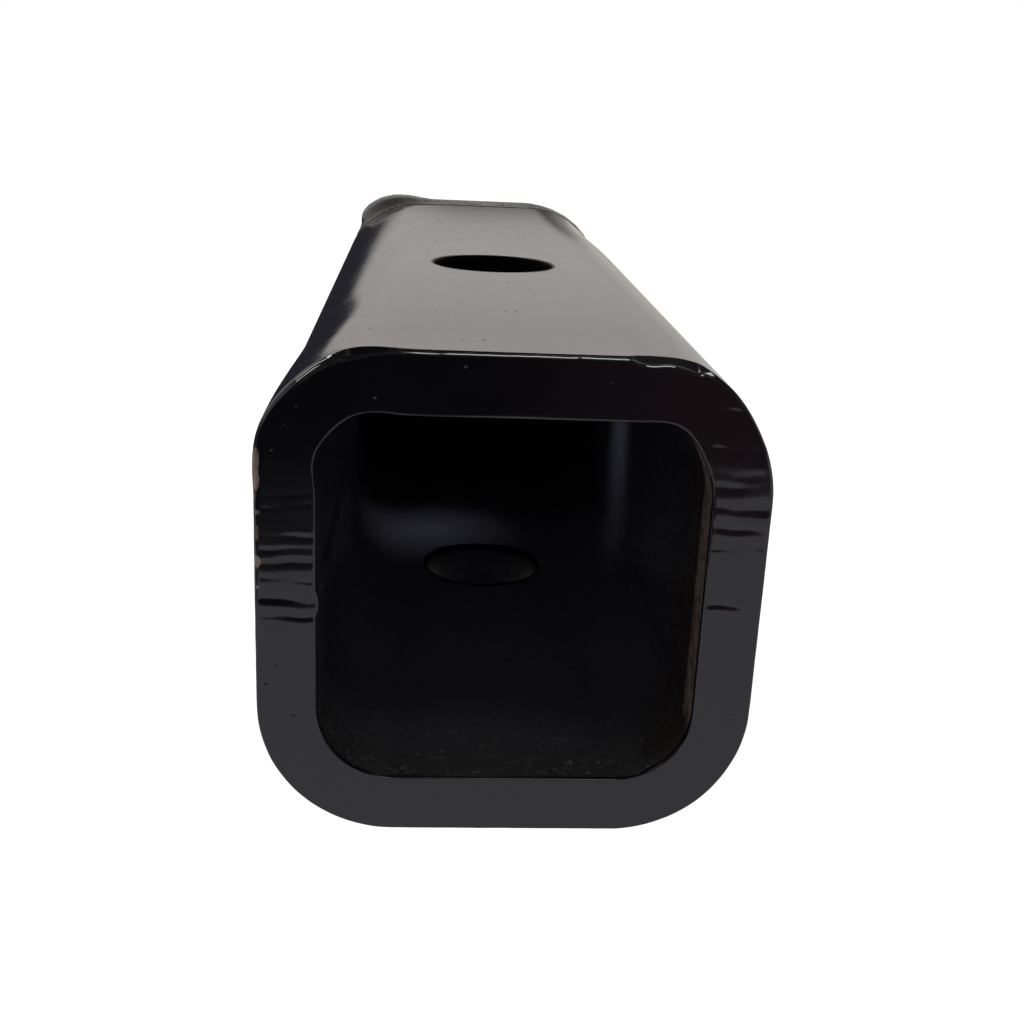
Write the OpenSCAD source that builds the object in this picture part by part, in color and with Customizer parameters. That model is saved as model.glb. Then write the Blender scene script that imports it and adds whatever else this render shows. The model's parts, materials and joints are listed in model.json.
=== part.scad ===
// Drop ball mount: a hollow square shank with a bent drop plate welded across its far end.
// Millimetres. Origin at the centre of the pin hole, on the axis of the shank.
// +Y runs from the open end of the shank towards the ball, +Z points up, +X to the right.

/* [Shank tube] */
// Width and height of the square tube, over its flats
shank_w = 50.8; // [44.5:0.1:63.5]
// Thickness of the tube's wall
wall_t = 6; // [4.5:0.1:7.5]
// Outside radius of the tube's rolled corners
corner_r = 14; // [11:0.5:16]
// Length of the tube, from its open end to the drop plate
shank_len = 152.4; // [130:0.1:260]
// Chamfer that breaks the outer edge of the open end
mouth_break = 0.8; // [0.4:0.1:1.5]
// Chamfer that breaks the inner edge of the open end
mouth_inner_break = 0.4; // [0.2:0.1:0.8]
// Height of the rolled-in weld flash along the left inner wall
seam_h = 0.7; // [0.3:0.1:1.2]
// Width of that flash where it meets the wall
seam_w = 3; // [2:0.1:4]

/* [Pin hole] */
// Diameter of the pin hole, through the upper and the lower wall
pin_d = 16.7; // [13:0.1:18]
// Distance from the open end to the pin hole
pin_from_end = 63.5; // [50:0.1:75]
// Chamfer around the outer ends of the pin hole
pin_break = 0.4; // [0.2:0.1:0.8]

/* [Drop plate] */
// How far the edge of the plate stands in from the outside of the tube
head_inset = 0.8; // [0.2:0.1:1.5]
// Thickness of the bent plate
plate_t = 15.9; // [12:0.1:19]
// Drop, from the top of the shank to the top of the ball platform
drop = 101.6; // [95:0.1:152]
// Width of the ball platform
platform_w = 63.5; // [58:0.1:76]
// Inside radius of the bend between the web and the platform
bend_r = 16.1; // [12:0.1:20]
// Height below the shank's axis at which the web starts to widen
flare_from = 33; // [30:0.5:34]
// Radius of the coves in which the web widens
cove_r = 25; // [18:0.5:26]
// Chamfer along the edges of the plate
plate_break = 1.2; // [0.6:0.1:1.6]

/* [Ball hole] */
// Diameter of the hole for the ball's threaded stem
ball_d = 26.2; // [19.4:0.1:33]
// Distance from the back of the web to the ball hole
ball_from_web = 60; // [50:0.1:120]
// Chamfer around both ends of the ball hole
ball_break = 0.8; // [0.4:0.1:1.5]

/* [End weld] */
// Depth of the bevel that the weld fills in the end of the tube
groove = 4.5; // [2.5:0.1:5]
// Reach of the weld along the tube, from the plate
toe_tube = 6.6; // [5.5:0.1:8]
// Reach of the weld over the edge of the plate
toe_plate = 4.6; // [3:0.1:6]
// Leg of the fillet on the face of the plate, under the tube
fillet_leg = 6; // [4:0.1:7]
// Height of the weld above the flats
weld_h = 0.7; // [0.3:0.1:1]
// Extra height of the lump in the upper left corner, where the weld starts and ends
lump_h = 2.1; // [0:0.1:2.6]
// Distance between two ripples of the weld
ripple_pitch = 2.6; // [2:0.1:4]
// Depth of the ripples
ripple_h = 0.25; // [0:0.05:0.4]
// How far the middle of each ripple runs ahead of its ends
ripple_bow = 2; // [0:0.1:3]

/* [Hidden] */
$fn = 96;
over = 2;

open_y = -pin_from_end;
plate_y = open_y + shank_len;
flat_len = shank_w - 2 * corner_r;
inner_w = shank_w - 2 * wall_t;
head_w = shank_w - 2 * head_inset;
head_r = corner_r - head_inset;

shank_top = shank_w / 2;
platform_top = shank_top - drop;
bend_outer_r = bend_r + plate_t;
bend_y = plate_y + bend_outer_r;
bend_z = platform_top + bend_r;
ball_y = plate_y + plate_t + ball_from_web;

quarter = flat_len + corner_r * PI / 2;
ripples = round(4 * quarter / ripple_pitch);
rings_per_ripple = 3;
rings = ripples * rings_per_ripple;
cap_steps = 6;
seat = 0.015;

// Turns a shape drawn upwards along Z so that it runs along Y
module along_y() {
    rotate([-90, 0, 0])
        children();
}

// Carries a flat section right round a rounded square tube.
// In the section, x points out of the tube's surface and y runs along the tube.
module round_the_tube(w, r) {
    for (q = [0:3])
        rotate([0, 90 * q, 0]) {
            translate([w / 2, 0, r - w / 2])
                linear_extrude(w - 2 * r)
                    children();
            translate([w / 2 - r, 0, r - w / 2])
                along_y()
                    rotate_extrude(angle = 90)
                        translate([r, 0])
                            children();
        }
}

// Cutter that chamfers both ends of a hole along Z
module hole_ends(d, length, c) {
    for (side = [0, 1])
        mirror([0, 0, side])
            translate([0, 0, length / 2 - c])
                cylinder(h = c + over, d1 = d, d2 = d + 2 * (c + over));
}

// Lengthwise section of the tube's wall: both edges of the mouth broken, the far end bevelled
module wall_section() {
    polygon([
        [-mouth_break, 0], [0, mouth_break], [0, shank_len - groove], [-groove, shank_len],
        [-wall_t, shank_len], [-wall_t, mouth_inner_break], [mouth_inner_break - wall_t, 0]
    ]);
}

// The square tube: its wall carried round four flats and four rolled corners,
// with the seam flash inside and the pin hole through the upper and the lower wall
module shank_tube() {
    color([0.07, 0.07, 0.08])
        difference() {
            union() {
                translate([0, open_y, 0])
                    round_the_tube(shank_w, corner_r)
                        wall_section();
                seam_flash();
            }
            cylinder(h = shank_w + 2 * over, d = pin_d, center = true);
            hole_ends(pin_d, shank_w, pin_break);
        }
}

// Low round ridge of squeezed-out metal that the tube's own seam leaves along the left inner wall
module seam_flash() {
    ridge_r = (seam_w * seam_w / 4 + seam_h * seam_h) / (2 * seam_h);
    ridge_x = seam_h - ridge_r - inner_w / 2;
    root = wall_t - groove;
    translate([0, open_y + mouth_inner_break, 0])
        along_y()
            linear_extrude(shank_len - mouth_inner_break)
                intersection() {
                    translate([ridge_x, 0])
                        circle(ridge_r);
                    translate([-inner_w / 2 - root, -seam_w])
                        square([root + seam_h, 2 * seam_w]);
                }
}

// Section of the flat bar, lying along x, with its four long edges broken
module bar_section(w, t, c) {
    polygon([
        [-w / 2 + c, 0], [w / 2 - c, 0], [w / 2, c], [w / 2, t - c],
        [w / 2 - c, t], [-w / 2 + c, t], [-w / 2, t - c], [-w / 2, c]
    ]);
}

// Section from the middle of the web out to its edge: square in front, where the weld lies on it,
// and broken behind
module web_edge_section(reach) {
    polygon([
        [0, 0], [reach, 0], [reach, plate_t - plate_break],
        [reach - plate_break, plate_t], [0, plate_t]
    ]);
}

// The upper web, which covers the end of the tube and follows its rounded outline
module web_head() {
    translate([0, plate_y, 0]) {
        for (side = [0, 1])
            mirror([side, 0, 0]) {
                translate([0, 0, -shank_w / 2])
                    linear_extrude(shank_w / 2 + flat_len / 2)
                        web_edge_section(head_w / 2);
                translate([flat_len / 2, 0, flat_len / 2])
                    rotate([0, -90, 0])
                        along_y()
                            rotate_extrude(angle = 90)
                                web_edge_section(head_r);
            }
        translate([flat_len / 2, 0, flat_len / 2])
            rotate([0, -90, 0])
                linear_extrude(flat_len)
                    web_edge_section(head_r);
    }
}

// The lower web, which widens to the width of the platform in two coves
module web_flare() {
    translate([0, plate_y, -flare_from])
        linear_extrude(flare_from - shank_w / 2)
            bar_section(head_w, plate_t, plate_break);
    difference() {
        translate([0, plate_y, bend_z])
            linear_extrude(-flare_from - bend_z)
                bar_section(platform_w, plate_t, plate_break);
        for (side = [-1, 1])
            translate([side * (head_w / 2 + cove_r), plate_y + plate_t / 2, -flare_from])
                along_y() {
                    cylinder(h = plate_t + 2 * over, r = cove_r, center = true);
                    hole_ends(2 * cove_r, plate_t, plate_break);
                }
    }
}

// The bend, and the platform with its round nose
module bent_platform() {
    translate([0, bend_y, bend_z])
        rotate([0, 90, 0])
            rotate([0, 0, -90])
                rotate_extrude(angle = 90)
                    translate([bend_r, 0])
                        rotate([0, 0, -90])
                            bar_section(platform_w, plate_t, plate_break);
    translate([0, bend_y, platform_top])
        along_y()
            linear_extrude(ball_y - bend_y)
                bar_section(platform_w, plate_t, plate_break);
    translate([0, ball_y, platform_top - plate_t])
        rotate_extrude(angle = 180)
            intersection() {
                bar_section(platform_w, plate_t, plate_break);
                square([platform_w, plate_t]);
            }
}

// The drop plate: one flame-cut plate, bent once, with the ball hole in its platform
module drop_plate() {
    color([0.08, 0.08, 0.09])
        difference() {
            union() {
                web_head();
                web_flare();
                bent_platform();
            }
            translate([0, ball_y, platform_top - plate_t / 2]) {
                cylinder(h = plate_t + 2 * over, d = ball_d, center = true);
                hole_ends(ball_d, plate_t, ball_break);
            }
        }
}

// Point and outward direction on the tube's outline, at the distance s around it.
// The way starts at the lower end of the right flat and runs up, left, down and right.
function outline(s) =
    let (
        whole = 4 * quarter,
        way = s - whole * floor(s / whole),
        side = floor(way / quarter),
        t = way - side * quarter,
        turn = max(0, t - flat_len) / corner_r * 180 / PI,
        x = flat_len / 2 + corner_r * cos(turn),
        z = t < flat_len ? t - flat_len / 2 : flat_len / 2 + corner_r * sin(turn),
        a = 90 * side
    )
    [
        x * cos(a) - z * sin(a), x * sin(a) + z * cos(a),
        cos(a + turn), sin(a + turn)
    ];

// How far the way at s has turned down from the side of the tube towards its underside, in degrees
function underside_turn(s) =
    let (n = outline(s))
    atan2(max(0, -n[3]), abs(n[2]));

// Soft step from 0 at a to 1 at b
function soft_step(a, b, v) =
    let (t = min(1, max(0, (v - a) / (b - a))))
    t * t * (3 - 2 * t);

// Height of the weld's crown: level all round, with the lump past the upper left corner,
// steep towards the side and long towards the top
function crown(s) =
    let (
        lump_at = quarter + flat_len + 0.31 * (quarter - flat_len),
        away = s - lump_at,
        spread = away > 0 ? 5 : 14
    )
    weld_h + lump_h * exp(-away * away / (spread * spread));

// Where the weld ends on the plate, as [distance out of the tube, distance along it].
// It lies over the plate's edge at the top and sides, and on the plate's face under the tube.
function plate_toe(s) =
    let (
        turn = underside_turn(s),
        face = turn > 80 ? fillet_leg : head_r / cos(turn) - corner_r
    )
    [min(face, fillet_leg), toe_plate * (1 - soft_step(0, 34, turn))];

// Ripple height at ring i: each ripple rises slowly and drops to the next
function ripple(i) =
    let (k = i % rings_per_ripple)
    ripple_h * (k / (rings_per_ripple - 1) - 0.5);

// Point of the weld at the distance s around, n out of the surface and y along the tube
function weld_point(s, n, y) =
    let (o = outline(s))
    [o[0] + n * o[2], plate_y + y, o[1] + n * o[3]];

// Closed section of the weld at ring i: its crown from toe to toe, then the plate and the bevel.
// It stands off by seat, which keeps its flat facets out of the tube's round corners.
function weld_ring(i) =
    let (
        s = i * 4 * quarter / rings,
        toe = plate_toe(s)
    )
    concat(
        [
            for (k = [0:cap_steps])
                let (
                    u = k / cap_steps,
                    bulge = sin(180 * u),
                    ahead = s + ripple_bow * bulge,
                    far = plate_toe(ahead),
                    reach = far[1] + toe_tube,
                    chord = norm([far[0], reach]),
                    rise = (crown(ahead) + ripple(i)) * bulge,
                    n = seat + u * far[0] + rise * reach / chord,
                    y = u * (reach - seat) - toe_tube - rise * far[0] / chord
                )
                weld_point(ahead, n, y)
        ],
        [
            weld_point(s, toe[0] + seat, -seat),
            weld_point(s, 3 * seat - groove, -seat),
            weld_point(s, seat, seat - groove)
        ]
    );

// The weld that joins tube and plate: one rippled run right round the tube
module end_weld() {
    ring_size = cap_steps + 4;
    points = [for (i = [0:rings - 1]) each weld_ring(i)];
    faces = [
        for (i = [0:rings - 1], k = [0:ring_size - 1])
            let (
                j = (i + 1) % rings,
                m = (k + 1) % ring_size
            )
            each [
                [i * ring_size + k, i * ring_size + m, j * ring_size + m],
                [i * ring_size + k, j * ring_size + m, j * ring_size + k]
            ]
    ];
    color([0.1, 0.1, 0.11])
        polyhedron(points = points, faces = faces);
}

shank_tube();
drop_plate();
end_weld();
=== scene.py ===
import json
from math import radians

import bpy
import numpy as np
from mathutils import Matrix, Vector


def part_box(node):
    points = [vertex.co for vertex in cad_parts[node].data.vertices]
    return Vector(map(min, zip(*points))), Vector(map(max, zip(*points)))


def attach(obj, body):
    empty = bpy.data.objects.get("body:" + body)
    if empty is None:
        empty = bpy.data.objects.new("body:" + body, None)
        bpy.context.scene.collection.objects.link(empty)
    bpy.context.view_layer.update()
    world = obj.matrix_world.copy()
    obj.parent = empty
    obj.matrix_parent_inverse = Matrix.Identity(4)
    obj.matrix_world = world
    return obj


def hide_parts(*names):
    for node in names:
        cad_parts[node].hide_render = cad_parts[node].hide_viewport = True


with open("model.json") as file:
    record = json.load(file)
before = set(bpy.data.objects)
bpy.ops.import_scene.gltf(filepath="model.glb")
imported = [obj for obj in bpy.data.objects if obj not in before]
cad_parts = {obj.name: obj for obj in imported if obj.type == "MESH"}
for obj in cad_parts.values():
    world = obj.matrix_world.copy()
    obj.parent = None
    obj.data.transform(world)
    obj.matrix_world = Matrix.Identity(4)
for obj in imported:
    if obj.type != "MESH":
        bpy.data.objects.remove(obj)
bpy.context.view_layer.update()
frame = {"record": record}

# Sizes that the frame gives, in millimetres
MM = 0.001
tube_low, tube_high = (np.array(corner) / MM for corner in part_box("shank_tube"))
plate_low, plate_high = (np.array(corner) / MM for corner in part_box("drop_plate"))
mounts = {mount["name"]: mount for mount in frame["record"]["mounts"]}
shank_w = tube_high[0] - tube_low[0]
open_y = tube_low[1]
plate_y = tube_high[1]
shank_len = plate_y - open_y
pin_r = mounts["pin_hole"]["dims"]["r_mm"]
pin_at = mounts["pin_hole"]["pos_m"][1] / MM - open_y
ball_r = mounts["ball_hole"]["dims"]["r_mm"]
ball_y = mounts["ball_hole"]["pos_m"][1] / MM
platform_w = plate_high[0] - plate_low[0]
platform_top = mounts["ball_seat"]["pos_m"][2] / MM
plate_t = platform_top - plate_low[2]
head_top = plate_high[2]

# Sizes of the tube, the plate and the weld, as in the part's source, in millimetres
wall_t = 6
corner_r = 14
groove = 4.5
seam_h = 0.7
seam_w = 3
pin_break = 0.2
head_inset = 0.8
bend_r = 16.1
flare_from = 33
cove_r = 25
plate_break = 1.2
ball_break = 0.8
toe_tube = 6.6
toe_plate = 4.6
fillet_leg = 6
weld_h = 0.6
ripple_pitch = 2.6
ripple_bow = 2

# Gap that keeps the weld's hidden side clear of the tube and the plate
seat = 0.015

flat_len = shank_w - 2 * corner_r
quarter = flat_len + corner_r * np.pi / 2
floor_z = plate_low[2]


class Shell:
    """Points, quads and point marks of one closed surface, put together from grids."""

    def __init__(self):
        self.points = []
        self.quads = []
        self.marks = {"inside": [], "bare": [], "cut": []}
        self.count = 0

    def add(self, points, **marks):
        """Adds an array of points and gives their numbers in the same layout."""
        flat = points.reshape(-1, 3)
        first = self.count
        self.count += len(flat)
        self.points.append(flat)
        for name, parts in self.marks.items():
            value = np.broadcast_to(marks.get(name, 0.0), points.shape[:-1])
            parts.append(value.reshape(-1))
        return np.arange(first, self.count).reshape(points.shape[:-1])

    def join(self, numbers, keep=None):
        """Joins the neighbours in a grid of numbers by quads, apart from cells that keep leaves out."""
        quads = np.stack(
            [numbers[:-1, :-1], numbers[:-1, 1:], numbers[1:, 1:], numbers[1:, :-1]], -1
        )
        self.quads.append(quads.reshape(-1, 4) if keep is None else quads[keep])

    def at(self, numbers):
        """Places of the points with these numbers."""
        return np.concatenate(self.points)[numbers]


def closed(numbers, axis):
    """Repeats the first line of a grid after its last, so that the surface closes on itself."""
    return np.concatenate([numbers, np.take(numbers, [0], axis)], axis)


def loop_around(numbers, first, last, left, right):
    """Numbers round the rectangle between two rows and two columns of a grid, each once."""
    down = 1 if last > first else -1
    across = 1 if right > left else -1
    rows = np.arange(first, last, down)
    columns = np.arange(left, right, across)
    return np.concatenate([
        numbers[first, columns],
        numbers[rows, right],
        numbers[last, columns[::-1] + across],
        numbers[rows[::-1] + down, left],
    ])


def outside(shape, first, last, left, right):
    """Mask of the cells of a grid that lie outside the rectangle between rows and columns."""
    keep = np.ones(shape, bool)
    keep[min(first, last):max(first, last), min(left, right):max(left, right)] = False
    return keep


def pierce(shell, loop_a, loop_b, centre, profile, **marks):
    """Walls of an upright round hole between two loops of points. Rings run straight from loop_a
    to the first circle, along the circles of the profile, given as radius and height, and straight
    from the last circle to loop_b. Each ring keeps the loop's own angles round the centre. The
    marks have one value before the circles, one on them and one after them."""
    start, stop = shell.at(loop_a), shell.at(loop_b)
    angle = np.arctan2(start[:, 1] - centre[1], start[:, 0] - centre[0])
    circles = np.stack([
        np.column_stack([
            centre[0] + radius * np.cos(angle),
            centre[1] + radius * np.sin(angle),
            np.full(len(angle), height),
        ])
        for radius, height in profile
    ])
    share = np.linspace(0, 1, hole_rings + 1)[1:-1, None, None]
    rings = np.concatenate([
        start + (circles[0] - start) * share,
        circles,
        circles[-1] + (stop - circles[-1]) * share,
    ])
    lengths = [len(share), len(circles), len(share)]
    values = {name: np.repeat(parts, lengths)[:, None] for name, parts in marks.items()}
    numbers = np.concatenate([loop_a[None], shell.add(rings, **values), loop_b[None]])
    shell.join(closed(numbers, 1))


def soft_step(a, b, value):
    """0 up to a, 1 from b on, and three t squared less two t cubed in between."""
    t = np.clip((value - a) / (b - a), 0, 1)
    return t * t * (3 - 2 * t)


def hump(value, middle, width):
    """Bell curve: e to the power of minus the square of the distance over the width."""
    return np.exp(-(((value - middle) / width) ** 2))


def uneven(seed, longest, shortest, *coordinates):
    """Uneven field of about -1 to 1: a sum of twelve sine waves with lengths from longest to
    shortest, each in its own random direction, lower as it gets shorter."""
    draw = np.random.default_rng(seed)
    total = 0
    weight = 0
    for length in np.geomspace(longest, shortest, 12):
        direction = draw.normal(size=len(coordinates))
        direction /= np.linalg.norm(direction)
        phase = draw.uniform(0, 2 * np.pi)
        way = sum(d * c for d, c in zip(direction, coordinates))
        height = np.sqrt(length / longest)
        total = total + height * np.sin(2 * np.pi * way / length + phase)
        weight += height
    return 2.2 * total / weight


def outline_at(s):
    """Corner centre and outward direction, each as x and z, at the distance s round the tube.
    The way starts at the lower end of the right flat and runs up, left, down and right: along a
    flat the centre moves and the direction stays, round a corner the direction turns by the arc
    over its radius. A point of the tube lies one corner radius out from its centre."""
    way = np.mod(s, 4 * quarter)
    side = np.floor(way / quarter)
    t = way - side * quarter
    turn = np.maximum(0, t - flat_len) / corner_r + side * np.pi / 2
    x = flat_len / 2
    z = np.minimum(t, flat_len) - flat_len / 2
    cos, sin = np.cos(side * np.pi / 2), np.sin(side * np.pi / 2)
    centre = np.stack([x * cos - z * sin, x * sin + z * cos], -1)
    return centre, np.stack([np.cos(turn), np.sin(turn)], -1)


def around(s, out, y):
    """Point of the tube at the distance s round it, out from its surface, at y along it."""
    centre, direction = outline_at(s)
    place = centre + (corner_r + out)[..., None] * direction
    return np.stack([place[..., 0], y, place[..., 1]], -1)


# Columns of points round the tube: many on the side walls, where the saw marks are
side_columns = 120
top_columns = 48
corner_columns = 48

# Columns left beside a hole in a flat, rows of points beside it, and rings between it and them
hole_margin = 2
hole_rows = 22
hole_rings = 6

# Rows of points between the far end and the pin hole, and inside by the mouth and behind it
far_rows = 14
mouth_rows = 9
run_rows = 6

# Rows of points behind the edge of the open end, how far back the lip rises from the wall, and
# the length by the mouth that the evenly spaced rows of the outside leave to it
lip_rows = [11, 9, 7, 5, 3.6, 2.6, 1.8, 1.2, 0.8, 0.5, 0.3, 0.15, 0.06, 0]
lip_reach = 12
lip_room = 13

# How far the sawn end lies behind the plane of the mouth, to leave room for its relief
face_at = 0.05

# Saw marks across the side walls of the open end: height, depth and half width of each
saw_marks_left = [
    (11.2, 0.012, 0.24), (10.0, 0.020, 0.22), (8.8, 0.006, 0.25), (7.0, 0.018, 0.30),
    (5.7, 0.022, 0.26), (4.3, 0.034, 0.40), (2.6, 0.012, 0.22), (0.4, 0.085, 0.46),
    (-1.4, 0.055, 0.36), (-2.6, 0.005, 0.25),
]
saw_marks_right = [
    (20.4, 0.050, 0.22), (16.7, 0.035, 0.20), (14.2, 0.012, 0.36), (13.2, 0.024, 0.40),
    (10.9, 0.036, 0.52), (8.8, 0.040, 0.44), (6.8, 0.024, 0.22), (4.9, 0.012, 0.20),
    (0.5, 0.075, 0.34), (-0.9, 0.012, 0.24),
]


def saw_relief(x, z):
    """Depth of the sawn end at x and z. Each mark is a hump in height, bent by a slow wave and
    weaker towards one side, and fine scratches and a slow swell are added all over."""
    depth = 0.012 * uneven(3, 30, 5, x, z)
    bend = 0.35 * uneven(4, 9, 3, x, 0.3 * z)
    for side, marks in ((-1, saw_marks_left), (1, saw_marks_right)):
        wall = soft_step(17.5, 19.5, side * x)
        for count, (height, deep, width) in enumerate(marks):
            lean = 0.5 * np.sin(1.7 * count) * (side * x - 22.4) / 3
            reach = 0.65 + 0.35 * np.sin(2.4 * count + 0.9 * (side * x - 19.4))
            depth = depth + wall * deep * reach * hump(z + bend * 0.5 + lean * 0.4, height, width)
    depth = depth + 0.0022 * uneven(5, 1.6, 0.5, 0.08 * x, z)
    return depth


# How far the upper left corner is knocked out, and how much fuller the upper right one is
knocked_out = 0.95
rolled_full = 0.60


def corner_swell(s, along):
    """How far the wall stands out of the nominal outline at two corners: the upper left one is
    knocked outwards near the mouth, and the upper right one is rolled a little fuller. Each is a
    soft hump round its corner, which fades along the tube."""
    past_top = s - (quarter + flat_len)
    left = knocked_out * soft_step(-1, 8, past_top) * (1 - soft_step(14.5, 22.5, past_top))
    left = left * (1 - soft_step(4, 42, along))
    past_side = s - flat_len
    right = rolled_full * soft_step(6.5, 15, past_side) * (1 - soft_step(15, 22, past_side))
    return left + right * (1 - soft_step(shank_len - 60, shank_len - 20, along))


# The outer edge of the open end: the radius of its edge, and the step that the saw has left along
# the top, with how far it stands out, how far the ledge before it stands out, how deep step and
# ledge reach back, and the fall of the ledge's own edge
edge_r = 0.15
step_rise = 0.27
ledge_rise = 0.10
ledge_depth = 0.60
step_depth = 0.06
ledge_fall = 0.085

# Where the step has broken away further: how much lower the ledge lies all along, and at its
# lowest, and how deep the break reaches back
break_fall = 0.18
break_notch = 0.36
break_depth = 0.90


def mouth_edge(x, z):
    """The outer edge of the open end, for the places x and z round the tube: how far it stands
    out, the radius of the edge, the share of the step that the saw has left along the top, and
    the share of the break in it. The upper corners are worn round instead."""
    top = soft_step(12, 20, z)
    upper = soft_step(8, 16, z)
    left = soft_step(-12, -19, x) * upper
    right = soft_step(16.5, 19, x) * upper
    gap = top * soft_step(10.1, 10.8, x) * (1 - right)
    step = top * (1 - soft_step(-15, -19, x)) * (1 - right)
    crest = step_rise * step - 0.08 * gap + 0.10 * top * hump(x, -16.5, 4)
    left_wall = soft_step(-20, -24.5, x) * (1 - left)
    radius = edge_r + 0.70 * left + 0.25 * right + left_wall * (0.12 + 0.35 * soft_step(-4, 14, z))
    radius = radius + 0.12 * soft_step(20, 25, x) * (1 - right)
    return crest, radius * (1 + 0.12 * uneven(7, 9, 1.5, x, z)), step, gap


def seam_ridge(side, z, y):
    """Height of the seam's flash on the left inner wall: a round ridge across, uneven along."""
    across = np.clip(1 - (2 * z / seam_w) ** 2, 0, 1)
    height = seam_h * (0.45 + 0.55 * soft_step(0, 7, y))
    return side * height * across * (0.86 + 0.12 * uneven(8, 12, 1.2, z, y))


def tube_shell():
    """The tube: one closed section, carried round the outline, with a hole through two flats.
    The section runs along the outside to the mouth, over the lip and its rounded edge or its
    step, down the sawn end, round the inner edge, back along the inside, and over the bevelled
    far end."""
    shell = Shell()
    s = np.concatenate([
        side * quarter + np.concatenate([
            np.linspace(0, flat_len, top_columns if side % 2 else side_columns, endpoint=False),
            np.linspace(flat_len, quarter, corner_columns, endpoint=False),
        ])
        for side in range(4)
    ])
    skin = around(s, np.zeros_like(s), np.zeros_like(s))
    x, z = skin[:, 0], skin[:, 2]
    left_wall = ((s >= 2 * quarter) & (s <= 2 * quarter + flat_len)).astype(float)
    one = np.ones_like(s)

    # Rows along the outside, with even steps beside the pin hole, and two close together where
    # the bevel of the far end starts
    bevel_at = shank_len - groove
    hole_half = flat_len / 2 - hole_margin * flat_len / top_columns
    beside_pin = np.linspace(pin_at + hole_half, pin_at - hole_half, hole_rows + 1)
    outer = np.concatenate([
        [bevel_at],
        np.linspace(bevel_at - 0.05, pin_at + hole_half, far_rows - 1, endpoint=False),
        beside_pin,
        np.linspace(pin_at - hole_half, lip_room, 8)[1:],
    ])
    out = [0 * one for y in outer]
    along = [y * one for y in outer]

    # The lip, its rounded edge or its step, and the sawn end. The step falls to a narrow ledge.
    # In the break, the step reaches further back and the ledge lies lower.
    crest, edge, step, gap = mouth_edge(x, z)
    rag = 0.012 * uneven(6, 9, 1.5, x, z)
    lip = crest + rag
    ledge = ledge_rise - gap * (break_fall + break_notch * hump(x, 12.2, 1.3))
    ledge = ledge - corner_swell(s, 0) + 0.03 * uneven(16, 14, 1.2, x, z)
    depth = step_depth + (break_depth - step_depth) * gap
    edge_depth = edge + (ledge_depth + depth - edge) * step
    for behind in lip_rows:
        out.append(lip * (1 - behind / lip_reach) ** 2)
        along.append(face_at + edge_depth + behind)
    worn = soft_step(-15, -19, x) * soft_step(10, 16, z)
    ways = np.concatenate([np.linspace(0.04, 0.92, 23), [0.926, 0.96, 0.994, 1]])
    for way in ways:
        turn = way * np.pi / 2
        wave = worn * 0.015 * np.sin(14 * turn + 0.8 * uneven(15, 14, 7, x, z)) * np.sin(2 * turn)
        round_out = lip - edge * (1 - np.cos(turn)) + wave * np.cos(turn)
        round_along = edge * (1 - np.sin(turn)) - wave * np.sin(turn)
        level = np.interp(way, [0, 0.08, 0.6, 0.68, 0.92], [0, 0.04, 0.95, 1, 1.03])
        on_step = np.interp(way, [0, 0.08, 0.6, 0.68], [1, 0.94, 0.05, 0])
        on_ledge = np.interp(way, [0.6, 0.68, 0.92, 1], [1, 0.87, 0.13, 0])
        step_out = lip + (ledge - lip) * level - ledge_fall * np.interp(way, [0.92, 1], [0, 1])
        step_along = depth * on_step + ledge_depth * on_ledge
        out.append(round_out + (step_out - round_out) * step)
        along.append(face_at + round_along + (step_along - round_along) * step)
    ridge = seam_ridge(left_wall, z, 0 * one)
    inner_break = 0.09 + 0.08 * soft_step(16, 20, np.abs(x)) + 0.02 * uneven(9, 11, 1.5, x, z)
    face_from = out[-1]
    face_to = inner_break - wall_t - ridge
    for t in np.linspace(0, 1, 24)[1:]:
        down = face_from + (face_to - face_from) * t
        point = around(s, down, 0 * one)
        fade = soft_step(0, 0.05, t) * (1 - soft_step(0.97, 1, t))
        out.append(down)
        along.append(face_at + fade * saw_relief(point[:, 0], point[:, 2]))
    for turn in np.linspace(0, np.pi / 2, 5)[1:]:
        out.append(face_to - (ridge + wall_t + face_to) * np.sin(turn))
        along.append(face_at + inner_break * (1 - np.cos(turn)))

    # Rows along the inside, which lie opposite those of the outside beside the pin hole
    inner_from = 1
    inner_run = 16
    inner = np.concatenate([
        np.linspace(inner_from, inner_run, mouth_rows),
        np.linspace(inner_run, pin_at - hole_half, run_rows + 1, endpoint=False)[1:],
        beside_pin[::-1],
        np.linspace(pin_at + hole_half, shank_len, far_rows)[1:],
    ])
    for y in inner:
        out.append(-wall_t - seam_ridge(left_wall, z, y * one))
        along.append(y * one)
    out.append(-groove * one)
    along.append(shank_len * one)

    out, along = np.array(out), np.array(along)
    inset = out
    out = out + corner_swell(s, along)
    points = around(np.broadcast_to(s, out.shape), out, open_y + along)
    rows = np.arange(len(out))[:, None]
    first_inner = len(out) - 1 - len(inner)
    inside = (rows >= first_inner) * 1.0 + 0 * out
    edge_rows = hump(inset + 0.35, 0, 0.45) * soft_step(2.2, 0.3, along)
    bare = edge_rows * bare_edge(points)
    numbers = shell.add(points, inside=inside, bare=bare)

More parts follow.
